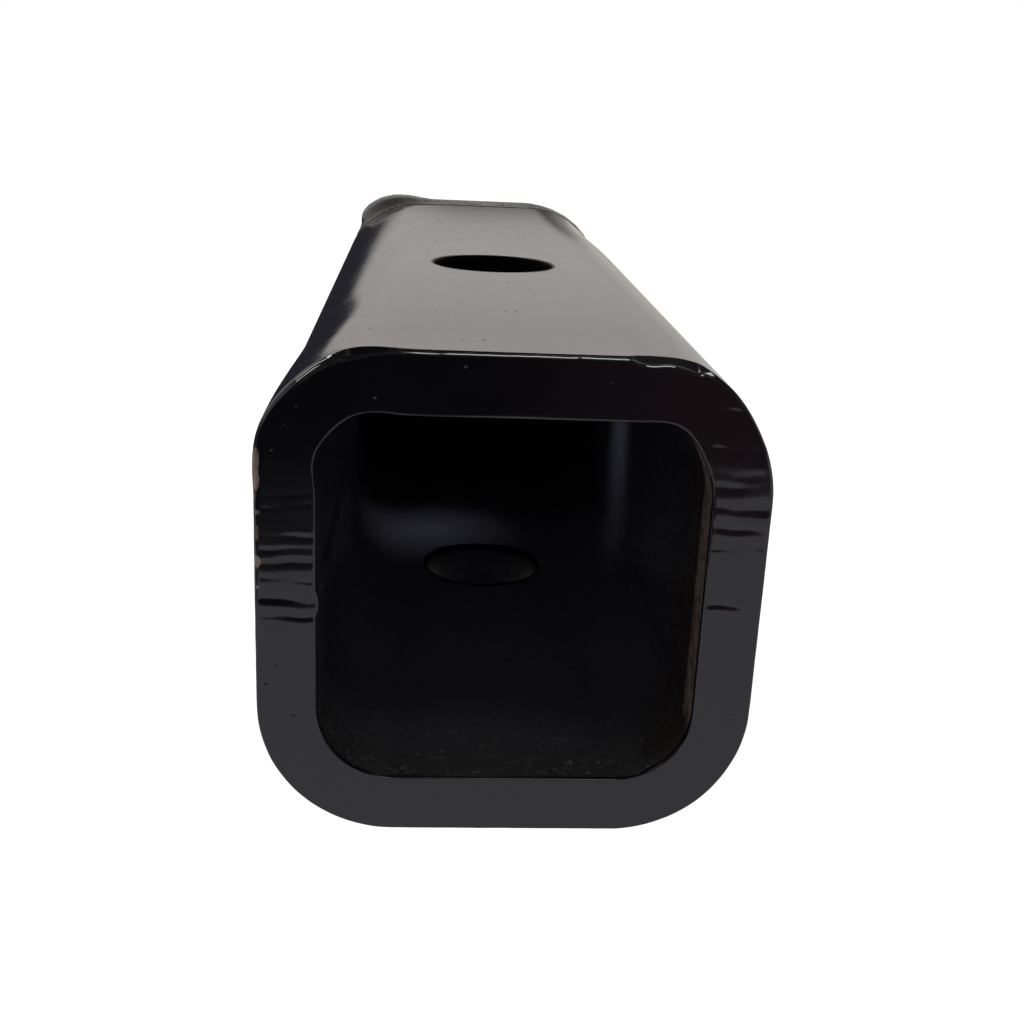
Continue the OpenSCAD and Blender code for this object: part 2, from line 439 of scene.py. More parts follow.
    # The two pin holes: walls from the outer skin to the inner one
    keep = np.ones((len(out), len(s)), bool)
    inner_last = first_inner + mouth_rows + run_rows - 1
    holes = []
    for side in (1, 3):
        left = side_columns + corner_columns + hole_margin
        left += (side // 2) * (side_columns + top_columns + 2 * corner_columns)
        right = left + top_columns - 2 * hole_margin
        outer_rect = (far_rows, far_rows + hole_rows, left, right)
        inner_rect = (inner_last + hole_rows, inner_last, left, right)
        keep &= outside(keep.shape, *outer_rect) & outside(keep.shape, *inner_rect)
        holes.append((2 - side, outer_rect, inner_rect))
    shell.join(closed(closed(numbers, 0), 1), keep)
    for up, outer_rect, inner_rect in holes:
        top = up * shank_w / 2
        turn = np.linspace(0, np.pi / 2, 5)
        rim = np.column_stack([
            pin_r + pin_break * (1 - np.sin(turn)), top - up * pin_break * (1 - np.cos(turn))
        ])
        bore = [(pin_r, top - up * depth) for depth in (1.2, 3, 4.8, wall_t - 0.2)]
        end = [(pin_r + 0.15, top - up * wall_t)]
        pierce(
            shell, loop_around(numbers, *outer_rect), loop_around(numbers, *inner_rect),
            (0, 0), np.concatenate([rim, bore, end]), inside=(0, 1, 1), cut=(0, 1, 0),
        )
    return shell


def bare_edge(points):
    """Where the coat has chipped off the rounded edge of the open end: humps along the left edge."""
    x, z = points[..., 0], points[..., 2]
    left = soft_step(-23.2, -24.2, x)
    places = (
        hump(z, 14.8, 1.2) + hump(z, 12.7, 1.3) + 0.75 * hump(z, 9.4, 0.30)
        + 0.60 * hump(z, 7.2, 1.6) + 0.85 * hump(z, 4.3, 0.8) + 0.7 * hump(z, 1.6, 0.35)
    )
    lower = hump(x, -23.6, 0.5) * hump(z, -15.6, 0.9) * 0.8
    return np.clip(left * places + lower, 0, 1)


# The plate, drawn flat and bent once
web_len = head_top - (platform_top + bend_r)
bend_len = bend_r * np.pi / 2
bend_y = plate_y + plate_t + bend_r
head_half = head_top
head_r = corner_r - head_inset
nose_at = web_len + bend_len + ball_y - bend_y


def bent(x, v, depth):
    """Place of a point of the plate. v runs down the back of the web from its top, round the bend
    and out along the top of the platform. Depth goes through the plate. On the web it counts
    forwards, round the bend it adds to the inside radius, and on the platform it counts down."""
    turn = np.clip((v - web_len) / bend_len, 0, 1) * np.pi / 2
    radius = bend_r + depth
    past = np.maximum(0, v - web_len - bend_len)
    before = np.maximum(0, web_len - v)
    y = bend_y - radius * np.cos(turn) + past
    z = platform_top + bend_r - radius * np.sin(turn) + before
    return np.stack([np.broadcast_to(x, y.shape), y, z], -1)


plate_step = 0.55
plate_half = platform_w / 2
flare_at = head_top + flare_from


def plate_rows(length):
    """Number of rows of points for this length of the plate's edge."""
    return max(2, int(round(length / plate_step)))


def cove_turn(inset):
    """Angle at which the cove, set in by inset, meets the straight edge of the platform."""
    return np.arccos((head_half + cove_r - plate_half + inset) / (cove_r + inset))


wide_from = flare_at + cove_r * np.sin(cove_turn(0.0))
plate_parts = [
    plate_rows(head_r * np.pi / 2), plate_rows(flare_at - head_r),
    plate_rows(cove_r * cove_turn(0.0)), plate_rows(nose_at - wide_from),
    plate_rows(plate_half * np.pi / 2),
]


def plate_outline(inset):
    """Half width and distance along one edge of the flat plate, set in by the inset of each row:
    a quarter circle at the head, a straight, the cove, a straight, and the quarter circle of the
    nose. Circles keep their centres, and their radii change by the inset."""
    head, neck, cove, wide, nose = np.split(inset, np.cumsum(plate_parts)[:-1])
    t = [np.linspace(0, 1, len(part), endpoint=False)[:, None] for part in (head, neck)]
    turn = (1 - t[0]) * np.pi / 2
    width = [head_half - head_r + (head_r - head) * np.cos(turn), head_half - neck]
    v = [head_r - (head_r - head) * np.sin(turn), head_r + (flare_at - head_r) * t[1] + 0 * neck]
    turn = np.linspace(0, 1, len(cove))[:, None] * cove_turn(cove)
    width.append(head_half + cove_r - (cove_r + cove) * np.cos(turn))
    v.append(flare_at + (cove_r + cove) * np.sin(turn))
    start = flare_at + (cove_r + wide) * np.sin(cove_turn(wide))
    t = np.linspace(0, 1, len(wide) + 1, endpoint=False)[1:, None]
    width.append(plate_half - wide)
    v.append(start + (nose_at - start) * t)
    turn = np.linspace(0, radians(88), len(nose))[:, None]
    width.append((plate_half - nose) * np.cos(turn))
    v.append(nose_at + (plate_half - nose) * np.sin(turn))
    return np.concatenate(width), np.concatenate(v)


def edge_profile(depth_of_break, thickness):
    """Inset and depth across the plate's edge, with both arrises rounded over a quarter circle."""
    back, front = depth_of_break
    turn = np.linspace(0, np.pi / 2, 5)
    inset = np.concatenate([
        [back + 0.35], back * (1 - np.sin(turn)), np.zeros(5), front * (1 - np.cos(turn)),
        [front + 0.35],
    ])
    depth = np.concatenate([
        [0], back * (1 - np.cos(turn)), np.linspace(back, thickness - front, 7)[1:-1],
        thickness - front * (1 - np.sin(turn)), [thickness],
    ])
    return inset, depth


def plate_shell():
    """The drop plate: a closed section of back, edge, front and edge, set along the flat outline
    and bent. A cap closes each end, and the ball hole goes through the platform."""
    shell = Shell()
    width, v = (line[:, 0] for line in plate_outline(np.zeros((sum(plate_parts), 1))))
    way = np.concatenate([[0], np.cumsum(np.hypot(np.diff(width), np.diff(v)))])
    down = soft_step(head_top + 26, head_top + 31, v)
    profiles = [edge_profile((plate_break, 0.15 + (plate_break - 0.15) * d), plate_t) for d in down]
    inset = np.array([p[0] for p in profiles])
    depth = np.array([p[1] for p in profiles])

    # Drag lines of the flame, which trail behind towards the front of the plate
    trail = way[:, None] + 2.2 * (depth / plate_t) ** 2
    middle = soft_step(0.3, 2.2, depth) * soft_step(0.1, 1.6, plate_t - depth)
    lines = 0.045 * np.sin(2 * np.pi * trail / 1.9 + 1.2 * uneven(11, 23, 6, trail, depth))
    rough_cut = 0.07 + lines + 0.05 * uneven(12, 30, 4, way[:, None], 0.5 * depth)
    inset = np.maximum(0, inset + middle * rough_cut)
    half_width, place_v = plate_outline(inset)

    columns = 40
    u = np.linspace(-1, 1, columns + 1)
    last = inset.shape[1] - 1

    def place(row, across, level):
        """Points at one level of the edge profile: across times the inset half width."""
        x = across * half_width[row, level]
        return bent(x, place_v[row, level] + 0 * x, depth[row, level] + 0 * x)

    rows = np.arange(len(v))[:, None]
    edge = np.arange(1, last)[None]
    section = np.concatenate([
        place(rows, u[None], 0), place(rows, 1.0, edge), place(rows, u[None, ::-1], last),
        place(rows, -1.0, edge[:, ::-1]),
    ], 1)
    cut = np.concatenate([
        np.zeros(columns + 1), np.ones(last - 1), np.zeros(columns + 1), np.ones(last - 1)
    ])
    numbers = shell.add(section, cut=cut[None])

    # The ball hole's cells are left out of the top and the bottom of the platform
    hole_reach = ball_r + 2.6
    first = int(np.searchsorted(v, nose_at - hole_reach)) - 1
    stop = int(np.searchsorted(v, nose_at + hole_reach))
    left, right = int(0.2 * columns), int(0.8 * columns)
    front_of = 2 * columns + last
    top_rect = (first, stop, left, right)
    bottom_rect = (first, stop, front_of - left, front_of - right)
    ring = closed(numbers, 1)
    cells = (len(v) - 1, ring.shape[1] - 1)
    shell.join(ring, outside(cells, *top_rect) & outside(cells, *bottom_rect))
    top, bottom = platform_top, platform_top - plate_t
    turn = np.linspace(0, np.pi / 2, 6)
    upper = np.column_stack([
        ball_r + ball_break * (1 - np.sin(turn)), top - ball_break * (1 - np.cos(turn))
    ])
    lower = np.column_stack([upper[::-1, 0], top + bottom - upper[::-1, 1]])
    bore = [(ball_r, z) for z in np.linspace(top - ball_break, bottom + ball_break, 7)[1:-1]]
    pierce(
        shell, loop_around(numbers, *top_rect), loop_around(numbers, *bottom_rect),
        (0, ball_y), np.concatenate([upper, bore, lower]), cut=(0, 0.4, 0),
    )

    # Caps over the two ends
    levels = np.arange(1, last)[:, None]
    for row, turned in ((0, True), (len(v) - 1, False)):
        inner = shell.add(place(row, u[None, 1:-1], levels), cut=1.0)
        here = numbers[row]
        back = here[:columns + 1]
        right_edge = here[columns + 1:columns + last]
        front = here[columns + last:2 * columns + last + 1][::-1]
        left_edge = here[2 * columns + last + 1:][::-1]
        middle_rows = np.concatenate([left_edge[:, None], inner, right_edge[:, None]], 1)
        cap = np.concatenate([back[None], middle_rows, front[None]])
        shell.join(cap.T if turned else cap)
    return shell


def underside_turn(s):
    """How far the way at s has turned down from the side of the tube to its underside, in degrees."""
    direction = outline_at(s)[1]
    return np.degrees(np.arctan2(np.maximum(0, -direction[..., 1]), np.abs(direction[..., 0])))


def weld_crown(s):
    """Height of the weld's crown, a level bead that swells a little, and height of the lump at the
    upper left corner, where the run starts and ends. The lump is a steep fourth-power bell towards
    the side and two bells, one short and one long, towards the top. Just below it the bead is
    flush."""
    away = s - (quarter + flat_len + 8.3)
    towards_top = 1.3 * hump(away, 0, 6.5) + 0.8 * hump(away, 0, 13)
    lump = np.where(away > 0, 2.1 * np.exp(-((away / 3.75) ** 4)), towards_top)
    turn = 2 * np.pi * s / (4 * quarter)
    swell = 0.06 * np.sin(5 * turn) + 0.05 * np.sin(13 * turn)
    flush = 0.75 * hump(away, 8.5, 3.2)
    return (weld_h + swell) * (1 - flush), lump


def plate_toe(s):
    """Where the weld ends on the plate: how far out of the tube and how far along it. It lies over
    the plate's edge at the top and sides, and on the plate's face under the tube."""
    turn = underside_turn(s)
    slope = np.cos(np.radians(np.minimum(turn, 80)))
    face = np.where(turn > 80, fillet_leg, head_r / slope - corner_r)
    return np.minimum(face, fillet_leg), toe_plate * (1 - soft_step(0, 34, turn))


def weld_shell():
    """The weld: a crown from toe to toe, bowed forwards like the ripples that a moving pool
    leaves, closed behind by three lines on the plate and in the bevel. The crown rises straight
    and falls smoothly where the weld lies level, and is half a sine in the corner under the
    tube. The lump rises over a longer way. Each ripple rises slowly and drops to the next, uneven
    in size and lower on top."""
    shell = Shell()
    turns = 840
    s = np.linspace(0, 4 * quarter, turns, endpoint=False)[:, None]
    u = np.concatenate([[0, 0.003], np.linspace(0.03, 0.97, 23), [0.997, 1]])[None]
    under = plate_toe(s + 0 * u)[0] / fillet_leg
    across = np.sin(np.pi * u)
    level_bead = np.clip((u - 0.16) / 0.26, 0, 1) * (1 - soft_step(0.70, 1, u))
    bulge = level_bead + (across - level_bead) * under
    long_bead = soft_step(0.05, 0.66, u) * (1 - soft_step(0.72, 1, u))
    ahead = s + ripple_bow * bulge
    centre, direction = outline_at(ahead)
    flat = centre + corner_r * direction
    x, z = flat[..., 0], flat[..., 1]
    round_way = 2 * np.pi * s / (4 * quarter)
    wander = 0.35 * np.sin(7 * round_way) + 0.25 * np.sin(17 * round_way + 1)
    ripples = round(4 * quarter / ripple_pitch)
    phase = np.mod(ripples * s / (4 * quarter) + 0.3 * wander, 1)
    ripple = 0.11 * (np.power(phase, 1.4) - soft_step(0.80, 1, phase))
    strength = (1 + 0.35 * uneven(13, 40, 6, x, z)) * (1 - 0.6 * soft_step(20, 25, z))
    far_out, far_along = plate_toe(ahead)
    crown, lump = weld_crown(ahead)
    reach = far_along + toe_tube + 1.6 * lump
    chord = np.hypot(far_out, reach)
    rise = (crown + ripple * strength) * bulge + lump * long_bead
    ragged = 0.28 * uneven(14, 11, 1.4, x, z) * (np.abs(2 * u - 1) ** 3)
    out = seat + u * far_out + rise * reach / chord
    y = far_along - (1 - u) * reach - u * seat - rise * far_out / chord + ragged * np.sign(u - 0.5)
    front = around(ahead, out, plate_y + y)
    toe = plate_toe(s[:, 0])
    one = np.ones(turns)
    back = np.stack([
        around(s[:, 0], toe[0] + seat, plate_y - seat * one),
        around(s[:, 0], (3 * seat - groove) * one, plate_y - seat * one),
        around(s[:, 0], seat * one, plate_y + (seat - groove) * one),
    ], 1)
    numbers = shell.add(np.concatenate([front, back], 1))
    shell.join(closed(closed(numbers, 0), 1))
    return shell


def add_piece(name, shell, material, node):
    """Makes one smooth closed mesh in metres, which rides on the body root instead of its node."""
    mesh = bpy.data.meshes.new(name)
    points = np.concatenate(shell.points) * MM
    quads = np.concatenate(shell.quads)
    mesh.from_pydata(points.tolist(), [], quads.tolist())
    mesh.polygons.foreach_set("use_smooth", np.ones(len(quads), bool))
    for mark, parts in shell.marks.items():
        values = np.concatenate(parts).astype(np.float32)
        mesh.attributes.new(mark, "FLOAT", "POINT").data.foreach_set("value", values)
    mesh.materials.append(material)
    piece = bpy.data.objects.new(name, mesh)
    bpy.context.scene.collection.objects.link(piece)
    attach(piece, "root")
    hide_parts(node)


def make_node(tree, kind, inputs=None, **settings):
    """Adds a shader node, sets its settings, and fills its inputs with values or links."""
    made = tree.nodes.new("ShaderNode" + kind)
    for key, value in settings.items():
        setattr(made, key, value)
    for key, value in (inputs or {}).items():
        if isinstance(value, bpy.types.NodeSocket):
            tree.links.new(value, made.inputs[key])
        else:
            made.inputs[key].default_value = value
    return made


def maths(tree, operation, *values, clamp=False):
    """Result of one sum or comparison of values or links."""
    return make_node(
        tree, "Math", dict(enumerate(values)), operation=operation, use_clamp=clamp
    ).outputs[0]


def ramp(tree, value, low, high, to_low=0.0, to_high=1.0):
    """Value carried smoothly from the range low to high into the range to_low to to_high."""
    return make_node(
        tree, "MapRange",
        {"Value": value, "From Min": low, "From Max": high, "To Min": to_low, "To Max": to_high},
        interpolation_type="SMOOTHSTEP",
    ).outputs["Result"]


def blend_colours(tree, share, first, second):
    """First colour at share 0 and second colour at share 1."""
    made = make_node(tree, "Mix", {"Factor": share}, data_type="RGBA")
    for key, value in (("A", first), ("B", second)):
        socket = [i for i in made.inputs if i.name == key and i.type == "RGBA"][0]
        if isinstance(value, bpy.types.NodeSocket):
            tree.links.new(value, socket)
        else:
            socket.default_value = value
    return [o for o in made.outputs if o.type == "RGBA"][0]


def noise(tree, place, scale, detail=3.0, rough=0.55):
    """Uneven value from 0 to 1 at the given number of cells in a metre."""
    return make_node(
        tree, "TexNoise",
        {"Vector": place, "Scale": scale, "Detail": detail, "Roughness": rough},
    ).outputs["Fac"]


def new_group(name, inputs, outputs):
    """Empty shader group with named sockets: the group, its way in and its way out."""
    group = bpy.data.node_groups.new(name, "ShaderNodeTree")
    kinds = {"float": "NodeSocketFloat", "colour": "NodeSocketColor", "place": "NodeSocketVector"}
    for key, kind in inputs:
        group.interface.new_socket(key, in_out="INPUT", socket_type=kinds[kind])
    for key, kind in outputs:
        group.interface.new_socket(key, in_out="OUTPUT", socket_type=kinds[kind])
    way_in = group.nodes.new("NodeGroupInput")
    way_out = group.nodes.new("NodeGroupOutput")
    return group, way_in.outputs, way_out.inputs


def black_coat_group():
    """Dipped black coat: faint patches in the black, uneven gloss, orange peel and dust nibs."""
    group, given, result = new_group(
        "black_coat",
        [("Place", "place"), ("Black", "colour"), ("Patch", "colour"), ("Gloss", "float"),
         ("Peel", "float"), ("Nibs", "float")],
        [("Colour", "colour"), ("Roughness", "float"), ("Height", "float")],
    )
    patches = ramp(group, noise(group, given["Place"], 70, 4), 0.42, 0.68)
    smear = noise(group, given["Place"], 320, 5, 0.65)
    group.links.new(blend_colours(group, patches, given["Black"], given["Patch"]), result["Colour"])
    uneven_gloss = ramp(group, smear, 0.3, 0.75, 0.75, 1.4)
    group.links.new(maths(group, "MULTIPLY", given["Gloss"], uneven_gloss), result["Roughness"])
    peel = maths(group, "MULTIPLY", noise(group, given["Place"], 520, 2, 0.4), given["Peel"])
    cells = make_node(
        group, "TexVoronoi", {"Vector": given["Place"], "Scale": 620.0, "Randomness": 1.0}
    ).outputs["Distance"]
    rare = ramp(group, noise(group, given["Place"], 700, 0), 0.57, 0.63)
    nib = maths(group, "MULTIPLY", ramp(group, cells, 0.16, 0.02), rare)
    nibs = maths(group, "MULTIPLY", nib, given["Nibs"])
    group.links.new(maths(group, "ADD", peel, nibs), result["Height"])
    return group


def bare_steel_group():
    """Bare steel where the coat is gone: a ragged mask from a smooth one, and a mottled colour."""
    group, given, result = new_group(
        "bare_steel",
        [("Place", "place"), ("Wear", "float"), ("Pale", "colour"), ("Rust", "colour")],
        [("Bare", "float"), ("Colour", "colour")],
    )
    ragged = noise(group, given["Place"], 1500, 5, 0.7)
    torn = maths(group, "ADD", given["Wear"], maths(group, "MULTIPLY", ragged, 0.7))
    group.links.new(ramp(group, torn, 0.80, 0.92), result["Bare"])
    mottle = ramp(group, noise(group, given["Place"], 700, 4), 0.38, 0.66)
    group.links.new(blend_colours(group, mottle, given["Pale"], given["Rust"]), result["Colour"])
    return group


def coated_material(name, coat_group, black, patch, gloss, peel, nibs, wear):
    """Principled material of one coated piece. The coat's group gets the piece's own values, and
    wear, a function, gives what feeds each socket and the height of the bump."""
    material = bpy.data.materials.new(name)
    material.use_nodes = True
    tree = material.node_tree
    shader = tree.nodes["Principled BSDF"]
    place = make_node(tree, "TexCoord").outputs["Object"]
    coat = make_node(tree, "Group", node_tree=coat_group)
    values = {"Black": black, "Patch": patch, "Gloss": gloss, "Peel": peel, "Nibs": nibs}
    for key, value in values.items():
        coat.inputs[key].default_value = value
    tree.links.new(place, coat.inputs["Place"])
    fed, height = wear(tree, place, coat.outputs)
    for socket, value in fed.items():
        tree.links.new(value, shader.inputs[socket])
    bump = make_node(
        tree, "Bump", {"Height": height, "Strength": 1.0, "Distance": bump_height * MM}
    )
    tree.links.new(bump.outputs["Normal"], shader.inputs["Normal"])
    shader.inputs["IOR"].default_value = coat_ior
    return material


def mark_of(tree, name):
    """Mark that the piece's mesh carries at each point."""
    return make_node(tree, "Attribute", attribute_name=name).outputs["Fac"]


def tube_wear(tree, place, coat):
    """Tube: gloss coat outside, thinner and duller black inside with grains of scale and a brown bare
    strip on the right wall by the mouth, and chips along the left edge of the open end. Deeper inside,
    the
    black turns to a lighter bluish colour: painted light that lifts the dim shade there. The walls of
    the drilled holes get painted shade: near-black metal that reflects almost nothing."""
    inside = mark_of(tree, "inside")
    bore = mark_of(tree, "cut")
    axes = make_node(tree, "SeparateXYZ", {"Vector": place}).outputs
    by_mouth = ramp(tree, axes["Y"], (open_y + 8) * MM, (open_y + 3) * MM)
    above_floor = ramp(tree, axes["Z"], -16.5 * MM, -12 * MM)
    deep = ramp(tree, axes["Y"], (open_y + 2) * MM, (open_y + 45) * MM)
    right_wall = ramp(tree, axes["X"], 15 * MM, 18.5 * MM)
    inner_right = maths(tree, "MULTIPLY", right_wall, ramp(tree, inside, 0.4, 0.9))
    strip = maths(tree, "MULTIPLY", maths(tree, "MULTIPLY", by_mouth, above_floor), inner_right)
    wear = maths(tree, "MAXIMUM", mark_of(tree, "bare"), maths(tree, "MULTIPLY", strip, 0.62))
    steel = make_node(
        tree, "Group", {"Place": place, "Wear": wear, "Pale": pale_steel, "Rust": brown_rust},
        node_tree=bare_steel_group(),
    ).outputs

    near_black = blend_colours(tree, inner_right, floor_black, wall_brown)
    # Painted light: deeper in, the inside blends to a lighter bluish colour that lifts its shade
    inner_black_and_painted_light = blend_colours(tree, deep, near_black, deep_painted_light)
    cells = make_node(
        tree, "TexVoronoi", {"Vector": place, "Scale": 1500.0, "Randomness": 1.0}
    ).outputs["Distance"]
    patchy = ramp(tree, noise(tree, place, 420, 4, 0.65), 0.42, 0.66)
    by_the_mouth = maths(tree, "MULTIPLY", patchy, maths(tree, "SUBTRACT", 1.0, deep))
    grains = maths(tree, "MULTIPLY", ramp(tree, cells, 0.45, 0.10), by_the_mouth)
    scaly = blend_colours(tree, maths(tree, "MULTIPLY", grains, 0.7), inner_black_and_painted_light, scale_grey)
    # Painted shade: the bore walls get a near-black colour and turn metallic below, so they reflect
    # almost nothing
    drilled = blend_colours(tree, bore, scaly, bore_painted_shade)
    skin = blend_colours(tree, inside, coat["Colour"], drilled)
    rolled = noise(tree, place, 700, 5, 0.6)
    rough_in = ramp(tree, rolled, 0.35, 0.7, 0.36, 0.50)
    roughness = make_node(
        tree, "Mix", {"Factor": inside, "A": coat["Roughness"], "B": rough_in}
    ).outputs["Result"]
    rolled_height = maths(tree, "MULTIPLY", rolled, 5.0)
    scale_height = maths(tree, "ADD", rolled_height, maths(tree, "MULTIPLY", grains, 8.0))
    height = maths(tree, "ADD", coat["Height"], maths(tree, "MULTIPLY", scale_height, inside))
    bare = steel["Bare"]
    duller = maths(tree, "MULTIPLY", bare, 0.25)
    return {
        "Base Color": blend_colours(tree, bare, skin, steel["Colour"]),
        "Roughness": maths(tree, "ADD", roughness, duller, clamp=True),
        "Metallic": maths(tree, "MAXIMUM", maths(tree, "MULTIPLY", bare, 0.5), bore),
    }, maths(tree, "SUBTRACT", height, maths(tree, "MULTIPLY", bare, 4.0))


def plate_wear(tree, place, coat):
    """Plate: the coat over smooth rolled faces, duller and finely pitted on the flame-cut edges."""
    cut = mark_of(tree, "cut")
    pits = ramp(tree, noise(tree, place, 900, 5, 0.7), 0.35, 0.7)
    pit_height = maths(tree, "MULTIPLY", pits, maths(tree, "MULTIPLY", cut, 5.0))
    duller = maths(tree, "MULTIPLY", cut, 0.12)
    return {
        "Base Color": coat["Colour"],
        "Roughness": maths(tree, "ADD", coat["Roughness"], duller, clamp=True),
    }, maths(tree, "ADD", coat["Height"], pit_height)


def weld_wear(tree, place, coat):
    """Weld: the coat over the ripples, with tiny pits and grains of spatter."""
    grain = noise(tree, place, 1300, 4, 0.6)
    duller = ramp(tree, grain, 0.4, 0.7, 0.0, 0.08)
    return {
        "Base Color": coat["Colour"],
        "Roughness": maths(tree, "ADD", coat["Roughness"], duller, clamp=True),
    }, maths(tree, "ADD", coat["Height"], maths(tree, "MULTIPLY", grain, 1.5))


# Colours of the coat and of what shows under it, with painted light for the deep inside of the tube and
# painted shade for the bores
coat_black = (0.0017, 0.0016, 0.0023, 1)
coat_patch = (0.0027, 0.0023, 0.0028, 1)
pale_steel = (0.23, 0.175, 0.145, 1)
brown_rust = (0.10, 0.062, 0.043, 1)
floor_black = (0.0124, 0.0113, 0.0121, 1)
wall_brown = (0.020, 0.014, 0.011, 1)
# Painted light: lighter bluish colour deep in the tube, standing in for the light there
deep_painted_light = (0.075, 0.075, 0.110, 1)
scale_grey = (0.075, 0.069, 0.065, 1)
# Painted shade: near-black colour of the bore walls
bore_painted_shade = (0.005, 0.005, 0.006, 1)

# Height of the bump for a value of 1, in millimetres, and the coat's index of refraction
bump_height = 0.004
coat_ior = 1.5

# The gloss, the orange peel and the dust nibs of each piece's coat
coat_group = black_coat_group()
shank_coat = coated_material(
    "shank_coat", coat_group, coat_black, coat_patch, 0.08, 0.05, 8.0, tube_wear
)
plate_coat = coated_material(
    "plate_coat", coat_group, coat_black, coat_patch, 0.15, 1.4, 6.0, plate_wear
)
weld_coat = coated_material(
    "weld_coat", coat_group, coat_black, coat_patch, 0.26, 0.8, 4.0, weld_wear
)

add_piece("shank_tube_coated", tube_shell(), shank_coat, "shank_tube")
add_piece("drop_plate_coated", plate_shell(), plate_coat, "drop_plate")
add_piece("end_weld_coated", weld_shell(), weld_coat, "end_weld")


# The studio: a white floor and backdrop, two dark flags that only reflections see, and two lamps
def stage_sheet(name, corners, material, only_reflections):
    """Flat sheet of the studio between the given corners, in metres."""
    mesh = bpy.data.meshes.new(name)
    mesh.from_pydata(corners, [], [tuple(range(len(corners)))])
    mesh.materials.append(material)
    sheet = bpy.data.objects.new(name, mesh)
    bpy.context.scene.collection.objects.link(sheet)
    if only_reflections:
        sheet.visible_camera = False
        sheet.visible_diffuse = False
        sheet.visible_shadow = False
        sheet.visible_transmission = False


def floor_material():
    """White to the camera, with the object's shadow. To reflections it is pale warm grey behind
    the object, lighter and cooler in front of it, and dark right under it: a painted shadow of the
    object, which only reflections see."""
    material = bpy.data.materials.new("white_floor")
    material.use_nodes = True
    tree = material.node_tree
    tree.nodes.remove(tree.nodes["Principled BSDF"])
    rays = make_node(tree, "LightPath").outputs
    place = make_node(tree, "TexCoord").outputs["Object"]
    axes = make_node(tree, "SeparateXYZ", {"Vector": place}).outputs
    back = ramp(tree, axes["Y"], -0.08, 0.02)
    open_floor = blend_colours(tree, back, floor_front, floor_back)
    # Painted shadow for reflections: the floor turns dark in a box under the object
    beside = ramp(tree, maths(tree, "ABSOLUTE", axes["X"]), 0.030, 0.060)
    from_middle = maths(tree, "ABSOLUTE", maths(tree, "SUBTRACT", axes["Y"], 0.065))
    clear_of_painted_shadow = maths(tree, "MAXIMUM", beside, ramp(tree, from_middle, 0.125, 0.155))
    seen = blend_colours(tree, clear_of_painted_shadow, floor_painted_shadow, open_floor)
    mirrored = maths(tree, "MAXIMUM", rays["Is Glossy Ray"], rays["Is Transmission Ray"])
    colour = blend_colours(tree, rays["Is Camera Ray"], seen, (1, 1, 1, 1))
    strength = maths(tree, "ADD", maths(tree, "MULTIPLY", rays["Is Camera Ray"], 0.9), mirrored)
    glow = make_node(tree, "Emission", {"Color": colour, "Strength": strength}).outputs[0]
    paint = make_node(tree, "BsdfDiffuse", {"Color": floor_paint}).outputs[0]
    no_paint = make_node(tree, "BsdfTransparent", {"Color": (0, 0, 0, 1)}).outputs[0]
    shown = make_node(tree, "MixShader", {"Fac": mirrored, 1: paint, 2: no_paint}).outputs[0]
    both = make_node(tree, "AddShader", {0: glow, 1: shown}).outputs[0]
    tree.links.new(both, tree.nodes["Material Output"].inputs["Surface"])
    return material


def flag_material(name, dark, *fades):
    """Dark cloth of a flag. Each fade is an axis, where it starts and ends, and the colour there.
    The axis "slant" is Z plus 0.17 of the distance left of the middle."""
    material = bpy.data.materials.new(name)
    material.use_nodes = True
    tree = material.node_tree
    tree.nodes.remove(tree.nodes["Principled BSDF"])
    place = make_node(tree, "TexCoord").outputs["Object"]
    axes = make_node(tree, "SeparateXYZ", {"Vector": place}).outputs
    left_of = maths(tree, "MINIMUM", axes["X"], 0.0)
    slant = maths(tree, "SUBTRACT", axes["Z"], maths(tree, "MULTIPLY", left_of, 0.17))
    ways = {"X": axes["X"], "Z": axes["Z"], "slant": slant}
    colour = dark
    for axis, start, end, tint in fades:
        colour = blend_colours(tree, ramp(tree, ways[axis], start, end), colour, tint)
    glow = make_node(tree, "Emission", {"Color": colour, "Strength": 1.0}).outputs[0]
    tree.links.new(glow, tree.nodes["Material Output"].inputs["Surface"])
    return material


def backdrop():
    """World: white to the camera and an even soft light to everything but reflections. These see
    pale warm grey over the horizon, a little lighter above it, dark overhead, and dark over the
    camera and to the right of it."""
    world = bpy.data.worlds.new("backdrop")
    world.use_nodes = True
    tree = world.node_tree
    rays = make_node(tree, "LightPath").outputs
    towards = make_node(tree, "TexCoord").outputs["Generated"]
    axes = make_node(tree, "SeparateXYZ", {"Vector": towards}).outputs
    up = axes["Z"]
    rising = ramp(tree, up, 0.0, 0.22)
    high = ramp(tree, up, 0.42, 0.84)
    low_part = blend_colours(tree, rising, sky_low, sky_middle)
    whole = blend_colours(tree, high, low_part, sky_high)
    before = maths(tree, "MULTIPLY", ramp(tree, axes["Y"], 0.0, -0.5), 0.7)
    whole = blend_colours(tree, before, whole, sky_before)
    facing = ramp(tree, maths(tree, "SUBTRACT", axes["X"], axes["Y"]), 0.10, 0.65)
    unlit = maths(tree, "MULTIPLY", facing, ramp(tree, up, 0.22, 0.42))
    mirrored = blend_colours(tree, unlit, whole, sky_before)
    glossy = maths(tree, "MAXIMUM", rays["Is Glossy Ray"], rays["Is Transmission Ray"])
    soft = blend_colours(tree, glossy, sky_light, mirrored)
    colour = blend_colours(tree, rays["Is Camera Ray"], soft, (1, 1, 1, 1))
    tree.links.new(colour, tree.nodes["Background"].inputs["Color"])
    bpy.context.scene.world = world


def lamp(name, place, target, width, height, power):
    """Softbox at place, turned to its target. Sizes are in metres and the power in watts."""
    data = bpy.data.lights.new(name, "AREA")
    data.shape = "RECTANGLE"
    data.size = width
    data.size_y = height
    data.energy = power
    light = bpy.data.objects.new(name, data)
    light.location = place
    away = light.location - Vector(target)
    light.rotation_euler = away.to_track_quat("Z", "Y").to_euler()
    bpy.context.scene.collection.objects.link(light)


